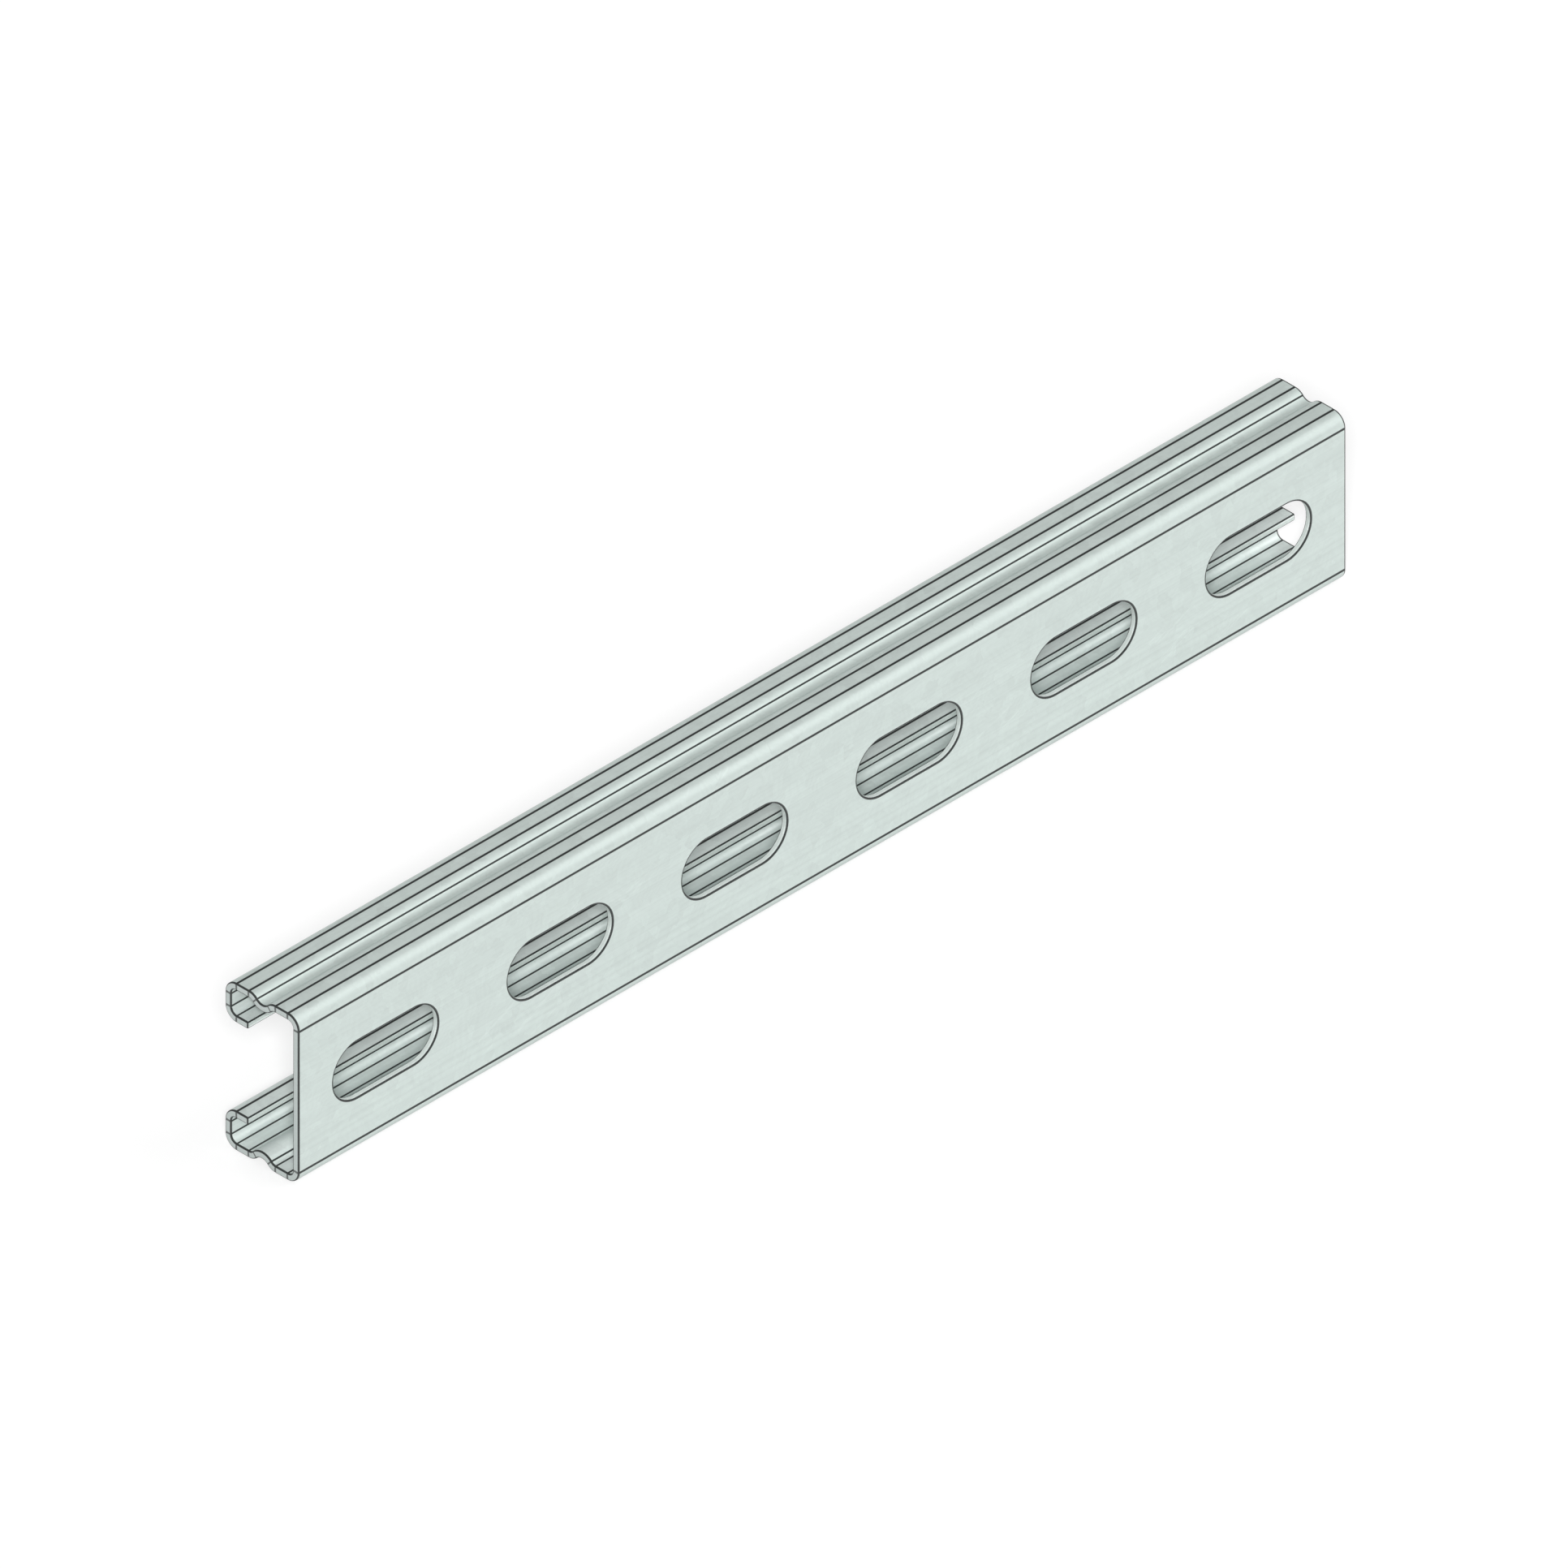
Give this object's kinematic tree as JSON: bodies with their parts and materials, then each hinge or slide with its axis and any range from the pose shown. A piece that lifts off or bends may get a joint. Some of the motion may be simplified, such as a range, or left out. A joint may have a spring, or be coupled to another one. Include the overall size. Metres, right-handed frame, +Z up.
{
  "type": "strut channel",
  "caption": "Short length of slotted strut channel: one roll-formed steel C section with in-turned lips, a groove along each side and round-ended slots in its back.",
  "frame": {"origin": "middle of the footprint, on the plane that the lower side rests on", "axes": "+X along the channel, +Y out of the open mouth between the lips, -Y out of the slotted back, +Z up across the two sides"},
  "size_m": [0.3, 0.021, 0.0413],
  "materials": {
    "galvanised_steel": "pre-galvanised steel sheet, satin pale grey, with bare sheared edges at the ends and slots"
  },
  "bodies": {
    "root": {"strut_channel": "galvanised_steel"}
  },
  "joints": []
}
